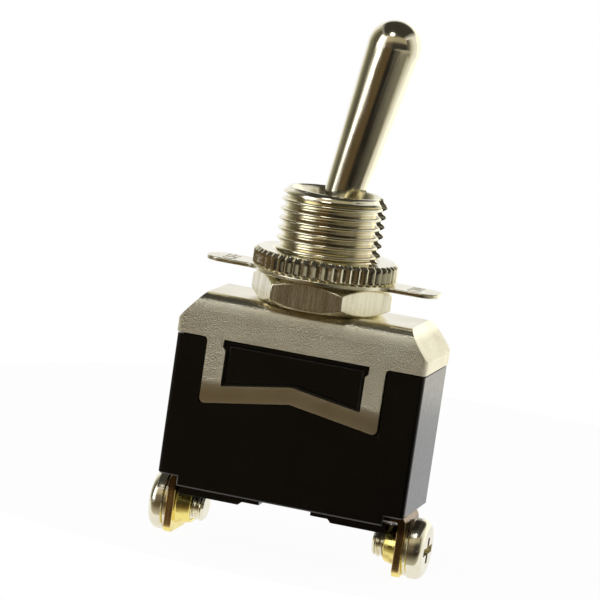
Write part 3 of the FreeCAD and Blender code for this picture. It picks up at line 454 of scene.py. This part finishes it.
def turned_piece(name, profile, finish, around=192, **sizes):
    """Spins a profile of (radius, height, thread, knurl, key) points, in millimetres, into a mesh."""
    mesh = bpy.data.meshes.new(f"{name}_profile")
    corners = [(point[0] * MM, 0, point[1] * MM) for point in profile]
    mesh.from_pydata(corners, [(i, i + 1) for i in range(len(profile) - 1)], [])
    for column, attribute in ((2, "thread"), (3, "knurl"), (4, "key")):
        layer = mesh.attributes.new(attribute, "FLOAT", "POINT")
        layer.data.foreach_set("value", [float(point[column]) for point in profile])
    source = bpy.data.objects.new(f"{name}_profile", mesh)
    bpy.context.scene.collection.objects.link(source)
    modifier = source.modifiers.new("turned", "NODES")
    modifier.node_group = TURNED
    values = {"Points around": around, "Thread pitch": 1.0, "Thread depth": 0.0, "Tooth count": 1,
              "Tooth depth": 0.0, "Key half width": 0.0, "Key floor radius": 1.0, "Finish": finish}
    for key, value in sizes.items():
        values[key.replace("_", " ").capitalize()] = value
    for key, value in values.items():
        set_input(modifier, key, value)
    result = baked(source, name)
    fix_normals(result)
    return result


def baked(source, name):
    """Turns an object with its modifiers into a plain mesh object and removes the first one."""
    bpy.context.view_layer.update()
    evaluated = source.evaluated_get(bpy.context.evaluated_depsgraph_get())
    mesh = bpy.data.meshes.new_from_object(evaluated)
    bpy.data.objects.remove(source, do_unlink=True)
    mesh.name = name
    result = bpy.data.objects.new(name, mesh)
    bpy.context.scene.collection.objects.link(result)
    return result


def fix_normals(piece):
    """Merges doubled corners, drops empty faces and turns every face outwards."""
    work = bmesh.new()
    work.from_mesh(piece.data)
    bmesh.ops.remove_doubles(work, verts=work.verts, dist=1e-7)
    bmesh.ops.dissolve_degenerate(work, edges=work.edges, dist=1e-7)
    bmesh.ops.recalc_face_normals(work, faces=work.faces)
    work.to_mesh(piece.data)
    work.free()


def smooth(piece, angle):
    """Shades a piece smooth, with edges over this angle in degrees kept sharp."""
    piece.data.shade_smooth()
    piece.data.set_sharp_from_angle(angle=math.radians(angle))


def rows(start, end, steps, thread=0.0, knurl=0.0, key=0.0):
    """Points along a straight stretch of a profile, without its last one."""
    points = []
    for i in range(steps):
        share = i / steps
        radius = start[0] + (end[0] - start[0]) * share
        height = start[1] + (end[1] - start[1]) * share
        points.append((radius, height, thread, knurl, key))
    return points


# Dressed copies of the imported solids

SHARP_FROM = 32
BEVELLED_FROM = 35


def merged_copy(node, name):
    """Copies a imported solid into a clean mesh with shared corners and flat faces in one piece."""
    mesh = nodes[node].data.copy()
    piece = bpy.data.objects.new(name, mesh)
    bpy.context.scene.collection.objects.link(piece)
    work = bmesh.new()
    work.from_mesh(mesh)
    bmesh.ops.remove_doubles(work, verts=work.verts, dist=2e-6)
    bmesh.ops.dissolve_limit(work, angle_limit=math.radians(1.0), verts=work.verts, edges=work.edges,
                             delimit={"NORMAL"})
    bmesh.ops.recalc_face_normals(work, faces=work.faces)
    work.to_mesh(mesh)
    work.free()
    mesh.materials.clear()
    return piece


def dressed(node, finish, edge, segments=2):
    """Rounds a solid's sharp edges a little, gives it its finish and shows it in the solid's place."""
    piece = merged_copy(node, f"{node}_finished")
    smooth(piece, SHARP_FROM)
    bevel = piece.modifiers.new("edge", "BEVEL")
    bevel.width = edge * MM
    bevel.segments = segments
    bevel.limit_method = "ANGLE"
    bevel.angle_limit = math.radians(BEVELLED_FROM)
    bevel.use_clamp_overlap = True
    flats = piece.modifiers.new("flats", "WEIGHTED_NORMAL")
    flats.keep_sharp = True
    flats.weight = 100
    piece = baked(piece, f"{node}_finished")
    coat(piece, finish)
    put_in_place(piece, node)


def coat(piece, finish):
    """Gives a piece one finish and no other."""
    piece.data.materials.clear()
    piece.data.materials.append(finish)


def put_in_place(piece, node):
    """Shows a finished piece in the place of its solid, on the same body."""
    body = nodes[node]["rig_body"]
    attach(piece, body)
    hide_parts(node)


def threaded_bushing(finish):
    """Bushing with its real thread, keyway, mouth and seat."""
    top = BUSHING_LENGTH
    slope = THREAD_RADIUS - RIM_SLOPE_WIDTH
    profile = rows((BALL_SEAT_RADIUS, -STAKE_DEPTH), (SPIGOT_RADIUS, -STAKE_DEPTH), 2)
    profile += rows((SPIGOT_RADIUS, -STAKE_DEPTH), (SPIGOT_RADIUS, 0), 2)
    profile += rows((SPIGOT_RADIUS, 0), (THREAD_RADIUS - FOOT_CHAMFER, 0), 2, key=1)
    profile += rows((THREAD_RADIUS - FOOT_CHAMFER, 0), (THREAD_RADIUS, FOOT_CHAMFER), 3, key=1)
    profile += rows((THREAD_RADIUS, FOOT_CHAMFER), (THREAD_RADIUS, top - RIM_CHAMFER), THREAD_ROWS,
                    thread=1, key=1)
    profile += rows((THREAD_RADIUS, top - RIM_CHAMFER), (slope, top - RIM_ROUNDING), 10,
                    thread=0.35, key=1)
    profile += rows((slope, top - RIM_ROUNDING), (THREAD_RADIUS - RIM_CHAMFER, top), 3, key=1)
    profile += rows((THREAD_RADIUS - RIM_CHAMFER, top), (DISH_RADIUS + DISH_EDGE_OUTSIDE, top), 2, key=1)
    dish_edge = (DISH_RADIUS - DISH_EDGE_INSIDE, top - DISH_EDGE_DEPTH)
    profile += rows((DISH_RADIUS + DISH_EDGE_OUTSIDE, top), dish_edge, 2)
    profile += rows(dish_edge, (THROAT_RADIUS, top - DISH_DEPTH), 8)
    seat_turn = math.acos(THROAT_RADIUS / BALL_SEAT_RADIUS)
    for i in range(SEAT_ARC_STEPS + 1):
        rise = seat_turn * (1 - i / SEAT_ARC_STEPS)
        seat_radius = BALL_SEAT_RADIUS * math.cos(rise)
        profile.append((seat_radius, SEAT_HEIGHT + BALL_SEAT_RADIUS * math.sin(rise), 0, 0, 0))
    profile += rows((BALL_SEAT_RADIUS, SEAT_HEIGHT - SEAT_RELIEF), (BALL_SEAT_RADIUS, -STAKE_DEPTH), 6)
    profile.append((BALL_SEAT_RADIUS, -STAKE_DEPTH, 0, 0, 0))
    piece = turned_piece("bushing_threaded", profile, finish, around=208, thread_pitch=THREAD_PITCH * MM,
                         thread_depth=THREAD_DEPTH * MM, key_half_width=KEYWAY_HALF_WIDTH * MM,
                         key_floor_radius=KEYWAY_FLOOR * MM)
    piece.data.transform(Matrix.Translation(place(0, 0, 0)))
    smooth(piece, 40)
    put_in_place(piece, "bushing")


def terminal_screw(side, finish):
    """Terminal screw: threaded shank, rounded head, and a slot crossed by a shorter one."""
    inside, radius, head = SCREW_HEAD_FROM, SCREW_RADIUS, SCREW_HEAD_RADIUS
    outside = inside + SCREW_HEAD_HEIGHT
    edge, chamfer, broken = SCREW_HEAD_EDGE, SCREW_TIP_CHAMFER, SCREW_HEAD_BREAK
    thread_end = inside - 0.02
    profile = [(0, SCREW_TIP, 0, 0, 0)]
    profile += rows((0.3, SCREW_TIP), (radius - chamfer, SCREW_TIP), 3)
    profile += rows((radius - chamfer, SCREW_TIP), (radius, SCREW_TIP + chamfer), 4)
    profile += rows((radius, SCREW_TIP + chamfer), (radius, thread_end), SCREW_THREAD_ROWS, thread=1)
    profile += rows((radius, thread_end), (radius, inside), 1)
    profile += rows((radius, inside), (head - broken, inside), 4)
    profile += rows((head - broken, inside), (head, inside + broken), 2)
    profile += rows((head, inside + broken), (head, outside - edge), 3)
    for i in range(HEAD_ARC_STEPS + 1):
        turn = math.pi / 2 * i / HEAD_ARC_STEPS
        arc_radius = head - edge + edge * math.cos(turn)
        profile.append((arc_radius, outside - edge + edge * math.sin(turn), 0, 0, 0))
    profile += rows((head - edge - 0.2, outside), (0.2, outside), 6)
    profile.append((0, outside, 0, 0, 0))
    piece = turned_piece(f"{side}_screw_threaded", profile, finish, around=96,
                         thread_pitch=SCREW_PITCH * MM, thread_depth=SCREW_THREAD_DEPTH * MM)
    piece.data.transform(Matrix.Rotation(math.radians(90 if side == "right" else -90), 4, "Y"))
    piece.data.transform(Matrix.Translation(place(OUTLET_SHIFT, 0, SCREW_HEIGHT)))
    cut_drive(piece, side, outside, finish)


def cut_drive(piece, side, outside, finish):
    """Cuts the straight slot and the shorter cross into a screw's head."""
    sign = 1 if side == "right" else -1
    cutter_length = 2.0
    cutter_middle = sign * (outside - DRIVE_DEPTH + cutter_length / 2) + OUTLET_SHIFT
    cutters = []
    for width, height in ((SLOT_HALF_LENGTH, DRIVE_HALF_WIDTH), (DRIVE_HALF_WIDTH, CROSS_HALF_LENGTH)):
        work = bmesh.new()
        bmesh.ops.create_cube(work, size=1.0)
        mesh = bpy.data.meshes.new("drive_cutter")
        work.to_mesh(mesh)
        work.free()
        mesh.transform(Matrix.Diagonal((cutter_length * MM, 2 * width * MM, 2 * height * MM, 1)))
        mesh.transform(Matrix.Translation(place(cutter_middle, 0, SCREW_HEIGHT)))
        cutter = bpy.data.objects.new("drive_cutter", mesh)
        bpy.context.scene.collection.objects.link(cutter)
        cutters.append(cutter)
        boolean = piece.modifiers.new("drive", "BOOLEAN")
        boolean.operation = "DIFFERENCE"
        boolean.solver = "EXACT"
        boolean.object = cutter
    name = piece.name
    piece.name = f"{name}_uncut"
    result = baked(piece, name)
    for cutter in cutters:
        bpy.data.objects.remove(cutter, do_unlink=True)
    for face in result.data.polygons:
        face.material_index = 0
    coat(result, finish)
    fix_normals(result)
    smooth(result, 38)
    put_in_place(result, f"{side}_terminal_screw")


def knurled_ring(finish):
    """Ring nut with straight knurling between its chamfered faces."""
    low, high, outer, bore = PLATE_TOP, NUT_TOP, RING_RADIUS, RING_BORE
    lower_width, lower_height = RING_LOWER_CHAMFER
    upper_width, upper_height = RING_UPPER_CHAMFER
    mouth = bore + RING_BORE_CHAMFER
    profile = rows((bore, low), (outer - lower_width, low), 4)
    profile += rows((outer - lower_width, low), (outer, low + lower_height), 4, knurl=0.6)
    profile += rows((outer, low + lower_height), (outer, high - upper_height), 8, knurl=1)
    profile += rows((outer, high - upper_height), (outer - upper_width, high), 5, knurl=0.75)
    profile += rows((outer - upper_width, high), (mouth, high), 4)
    profile += rows((mouth, high), (bore, high - RING_BORE_CHAMFER), 3)
    profile += rows((bore, high - RING_BORE_CHAMFER), (bore, low), 6)
    profile.append((bore, low, 0, 0, 0))
    piece = turned_piece("ring_nut_knurled", profile, finish, around=KNURL_TEETH * 10,
                         tooth_count=KNURL_TEETH, tooth_depth=KNURL_DEPTH * MM)
    piece.data.transform(Matrix.Translation(place(0, 0, 0)))
    smooth(piece, 30)
    put_in_place(piece, "knurled_ring_nut")


def stamped_word(text, distance, finish):
    """A short word across a wing of the plate, as thin filled letters."""
    curve = bpy.data.curves.new(f"word_{text}", "FONT")
    curve.body = text
    curve.size = LETTER_SIZE * MM
    curve.align_x = "CENTER"
    curve.align_y = "CENTER"
    curve.extrude = LETTER_HALF_THICKNESS * MM
    source = bpy.data.objects.new(f"word_{text}_curve", curve)
    bpy.context.scene.collection.objects.link(source)
    piece = baked(source, f"word_{text}")
    piece.data.transform(Matrix.Rotation(math.radians(90), 4, "Z"))
    piece.data.transform(Matrix.Translation(place(distance, 0, PLATE_TOP + LETTER_LIFT)))
    coat(piece, finish)
    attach(piece, "housing")


# Finishes and pieces

plating = smooth_nickel("plating_on_turned_parts", 0.14, (1, 1, 6))
lever_plating = smooth_nickel("plating_on_lever", 0.12, (1, 1, 0.15))
screw_plating = smooth_nickel("plating_on_screws", 0.16)
plate_plating = smooth_nickel("plating_on_plate", 0.2)
cover_plating = pressed_cover_plating()
nut_plating = brushed_nut_plating()
terminal_brass = rolled_brass("brass_of_terminals", True)
contact_brass = rolled_brass("brass_of_contacts")
moulding = black_moulding()
letter_finish = plain_material("dull_stamped_letters", (0.68, 0.64, 0.5), (0.58, 0.54, 0.42), 0.45, 1.0)
fibre = plain_material("brown_fibre", (0.33, 0.13, 0.07), (0.22, 0.09, 0.05), 0.62)
guide_steel = plain_material("cut_steel", (0.55, 0.53, 0.5), (0.42, 0.4, 0.38), 0.32, 1.0)
silver = plain_material("contact_silver", (0.85, 0.84, 0.82), (0.72, 0.7, 0.66), 0.3, 1.0)
cream_moulding = plain_material("cream_moulding", (0.72, 0.66, 0.52), (0.62, 0.56, 0.43), 0.34)
spring_steel = plain_material("spring_wire", (0.5, 0.5, 0.51), (0.4, 0.4, 0.42), 0.26, 1.0)

threaded_bushing(plating)
knurled_ring(plating)
terminal_screw("left", screw_plating)
terminal_screw("right", screw_plating)
dressed("lever", lever_plating, 0.05)
dressed("cover", cover_plating, 0.16, segments=3)
dressed("hex_nut", nut_plating, 0.1)
dressed("on_off_plate", plate_plating, 0.12, segments=3)
dressed("base", moulding, 0.12)
dressed("left_terminal", terminal_brass, 0.1)
dressed("right_terminal", terminal_brass, 0.1)
dressed("left_screw_washer", screw_plating, 0.1)
dressed("right_screw_washer", screw_plating, 0.1)
for node, finish in (("lever_guide", guide_steel),
                     ("insulating_liner", fibre),
                     ("contact_saddle", contact_brass),
                     ("saddle_rivet", contact_brass),
                     ("rocker_contact", contact_brass),
                     ("fixed_contact", silver),
                     ("moving_contact", silver),
                     ("plunger", cream_moulding),
                     ("lever_spring", spring_steel)):
    coat(nodes[node], finish)
stamped_word("ON", WORD_DISTANCE, letter_finish)
stamped_word("OFF", -WORD_DISTANCE, letter_finish)


# Floor, cards, light and camera

CAMERA_LENS = 210.77
CAMERA_AT = (0.090697, -0.384636, 0.052548)
CAMERA_RIGHT = (0.95668, 0.25321, 0.14371)
CAMERA_UP = (-0.17509, 0.10597, 0.97883)
CAMERA_BACK = (0.23262, -0.96159, 0.14572)
WORLD_LIGHT = 0.55
RIGHTWARD, BACKWARD, UPWARD = (1, 0, 0), (0, 1, 0), (0, 0, 1)
FLOOR_HEIGHT = -29.05
FLOOR_SIZE = 0.14
FLOOR_CORNERS = 48


def seen_or_mirrored(stage):
    """One for a ray from the camera, by way of a reflection or through a clear piece."""
    path = stage.nodes.new("ShaderNodeLightPath").outputs
    mirrored = stage.math("MAXIMUM", path["Is Glossy Ray"], path["Is Transmission Ray"])
    return stage.math("MAXIMUM", path["Is Camera Ray"], mirrored)


def empty_material(name):
    """A material without nodes but its output, and the builder of its tree."""
    material = bpy.data.materials.new(name)
    material.use_nodes = True
    stage = Tree(material.node_tree)
    stage.nodes.clear()
    return material, stage, stage.nodes.new("ShaderNodeOutputMaterial").inputs["Surface"]


def floor_paint(name, colour, seen_white):
    """Pale studio floor; this share of what the camera and reflections see of it is pure white."""
    material, stage, surface = empty_material(name)
    diffuse = stage.nodes.new("ShaderNodeBsdfDiffuse")
    diffuse.inputs["Color"].default_value = (*colour, 1)
    glow = stage.nodes.new("ShaderNodeEmission")
    glow.inputs["Strength"].default_value = 1.0
    mix = stage.nodes.new("ShaderNodeMixShader")
    stage.join(stage.math("MULTIPLY", seen_or_mirrored(stage), seen_white), mix.inputs["Fac"])
    stage.join(diffuse.outputs["BSDF"], mix.inputs[1])
    stage.join(glow.outputs["Emission"], mix.inputs[2])
    stage.join(mix.outputs["Shader"], surface)
    return material


def card_paint(name, across, upward):
    """Glowing card whose tone is the sum of one run of colours along its width and one up its height."""
    material, stage, surface = empty_material(name)
    split = stage.nodes.new("ShaderNodeSeparateXYZ")
    stage.join(stage.nodes.new("ShaderNodeTexCoord").outputs["UV"], split.inputs["Vector"])
    total = stage.nodes.new("ShaderNodeVectorMath")
    total.operation = "ADD"
    for stops, direction, target in ((across, "X", total.inputs[0]), (upward, "Y", total.inputs[1])):
        ramp = stage.nodes.new("ShaderNodeValToRGB")
        stage.join(split.outputs[direction], ramp.inputs["Fac"])
        elements = ramp.color_ramp.elements
        while len(elements) < len(stops):
            elements.new(0.5)
        for element, (position, colour) in zip(elements, stops):
            element.position = position
            element.color = (*colour, 1)
        stage.join(ramp.outputs["Color"], target)
    glow = stage.nodes.new("ShaderNodeEmission")
    stage.join(total.outputs["Vector"], glow.inputs["Color"])
    stage.join(glow.outputs["Emission"], surface)
    return material


def flat_panel(name, centre, right, up, width, height, material, corners=4):
    """A flat studio surface with its middle, two directions and size in metres."""
    right, up, centre = Vector(right).normalized(), Vector(up).normalized(), Vector(centre)
    mesh = bpy.data.meshes.new(name)
    turn = math.pi / corners
    reach = 1 / math.cos(turn)
    points = [centre + right * (width / 2 * reach * math.cos(turn * (2 * i + 1)))
              + up * (height / 2 * reach * math.sin(turn * (2 * i + 1))) for i in range(corners)]
    mesh.from_pydata(points, [], [list(range(corners))])
    mesh.materials.append(material)
    layer = mesh.uv_layers.new(name="place_on_panel")
    for corner, point in zip(layer.data, points):
        corner.uv = ((point - centre).dot(right) / width + 0.5, (point - centre).dot(up) / height + 0.5)
    panel = bpy.data.objects.new(name, mesh)
    bpy.context.scene.collection.objects.link(panel)
    return panel


def soft_light(name, at, width, height, power, colour=(1.0, 1.0, 1.0)):
    """A rectangular lamp that points at the middle of the frame, in metres and watts."""
    data = bpy.data.lights.new(name, "AREA")
    data.shape = "RECTANGLE"
    data.size = width
    data.size_y = height
    data.energy = power
    data.color = colour
    lamp = bpy.data.objects.new(name, data)
    lamp.location = at
    lamp.rotation_euler = Vector(at).to_track_quat("Z", "Y").to_euler()
    bpy.context.scene.collection.objects.link(lamp)
    return lamp


def set_world():
    """White surroundings where they are seen or mirrored, and a softer level as light."""
    world = bpy.data.worlds.new("studio")
    world.use_nodes = True
    stage = Tree(world.node_tree)
    background = stage.nodes["Background"]
    strength = stage.nodes.new("ShaderNodeMapRange")
    stage.join(seen_or_mirrored(stage), strength.inputs["Value"])
    strength.inputs["To Min"].default_value = WORLD_LIGHT
    strength.inputs["To Max"].default_value = 1.0
    background.inputs["Color"].default_value = (1.0, 1.0, 1.0, 1)
    stage.join(strength.outputs["Result"], background.inputs["Strength"])
    bpy.context.scene.world = world


def set_camera():
    """The camera stands to the right of the front and a little above, with a slight roll."""
    data = bpy.data.cameras.new("camera")
    data.sensor_width = 36.0
    data.lens = CAMERA_LENS
    data.clip_start = 0.01
    data.clip_end = 20
    camera = bpy.data.objects.new("camera", data)
    bpy.context.scene.collection.objects.link(camera)
    turn = Matrix((CAMERA_RIGHT, CAMERA_UP, CAMERA_BACK)).transposed().to_4x4()
    camera.matrix_world = Matrix.Translation(Vector(CAMERA_AT)) @ turn
    bpy.context.scene.camera = camera


# Tones of the cards, as pairs of a share of the way and a colour
BLACK = (0, 0, 0)
DIM = (0.045, 0.042, 0.036)
TAN = (0.43, 0.39, 0.27)
PALE = (0.9, 0.9, 0.9)
SOOT = (0.05, 0.048, 0.04)
BROWN = (0.085, 0.055, 0.02)
UMBER = (0.02, 0.018, 0.015)
EVEN = ((0.0, BLACK), (1.0, BLACK))
FRONT_ACROSS = ((0.0, (0.11, 0.08, 0.04)), (0.2, (0.115, 0.08, 0.045)), (0.31, (0.07, 0.05, 0.03)),
                (0.4, BLACK), (0.9, BLACK), (1.0, (0.02, 0.02, 0.02)))
FRONT_UPWARD = ((0.0, DIM), (0.3, DIM), (0.42, (0.14, 0.12, 0.09)), (0.52, TAN), (0.9, TAN),
                (1.0, (0.2, 0.18, 0.14)))
RIGHT_ACROSS = ((0.0, (0.05, 0.047, 0.04)), (0.24, (0.2, 0.19, 0.14)), (0.48, (0.55, 0.53, 0.44)),
                (0.81, (0.9, 0.88, 0.8)), (1.0, (1.0, 1.0, 0.95)))
TABLE_ACROSS = ((0.0, BROWN), (0.34, BROWN), (0.365, BLACK), (0.4, BLACK),
                (0.5, (0.34, 0.32, 0.25)), (1.0, (0.6, 0.57, 0.45)))
TABLE_BACKWARD = ((0.0, UMBER), (0.986, UMBER), (0.994, (0.14, 0.12, 0.09)), (1.0, (0.5, 0.48, 0.4)))
CEILING_ACROSS = ((0.0, PALE), (0.2, BLACK), (0.8, BLACK), (1.0, PALE))
CEILING_BACKWARD = ((0.0, (0.2, 0.18, 0.14)), (0.12, SOOT), (0.75, SOOT), (1.0, (0.9, 0.9, 0.85)))
REAR_ACROSS = ((0.0, (0.7, 0.68, 0.58)), (0.27, (0.38, 0.37, 0.28)), (0.4, (0.24, 0.23, 0.17)),
               (0.56, (0.11, 0.1, 0.07)), (0.86, (0.1, 0.095, 0.07)), (1.0, (0.6, 0.6, 0.5)))

# Each card: middle, two directions, width, height and its two runs of tones
CARDS = {
    "front_card": ((0.27, -0.75, 0.475), (0.94, 0.34, 0), UPWARD, 1.78, 1.15, FRONT_ACROSS, FRONT_UPWARD),
    "right_card": ((0.788, 0.01, 0.1), (0.006, 0.994, 0), UPWARD, 0.646, 1.0, RIGHT_ACROSS, EVEN),
    "table_card": ((0.2, -0.3273, -0.0349), RIGHTWARD, BACKWARD, 1.3, 0.6455, TABLE_ACROSS,
                   TABLE_BACKWARD),
    "ceiling_card": ((0, 0.45, 0.95), RIGHTWARD, BACKWARD, 2.4, 2.5, CEILING_ACROSS, CEILING_BACKWARD),
    "rear_left_card": ((-0.783, 0.073, 0.1), (-0.109, -0.99, 0), UPWARD, 0.92, 1.4, REAR_ACROSS, EVEN),
}

floor_material = floor_paint("pale_floor", (0.85, 0.85, 0.85), 0.96)
flat_panel("floor", (0, 0.055, level(FLOOR_HEIGHT)), RIGHTWARD, BACKWARD, FLOOR_SIZE, FLOOR_SIZE,
           floor_material, FLOOR_CORNERS)
for name, (centre, right, up, width, height, across, upward) in CARDS.items():
    card = flat_panel(name, centre, right, up, width, height, card_paint(name, across, upward))
    card.visible_camera = False
    card.visible_diffuse = False
    card.visible_shadow = False

soft_light("left_light", (-0.85, -0.53, 0.2), 0.75, 1.1, 3.4)
soft_light("right_light", (0.97, 0.23, 0.15), 0.8, 1.1, 2.6).visible_glossy = False
soft_light("front_light", (-0.12, -0.515, 0.848), 0.25, 0.2, 0.8)
soft_light("rear_light", (0.4, 0.9, 0.0), 1.1, 1.0, 1.6, (1.0, 0.93, 0.62))
set_world()
set_camera()
bpy.context.scene.view_settings.view_transform = "Standard"

bpy.context.view_layer.update()
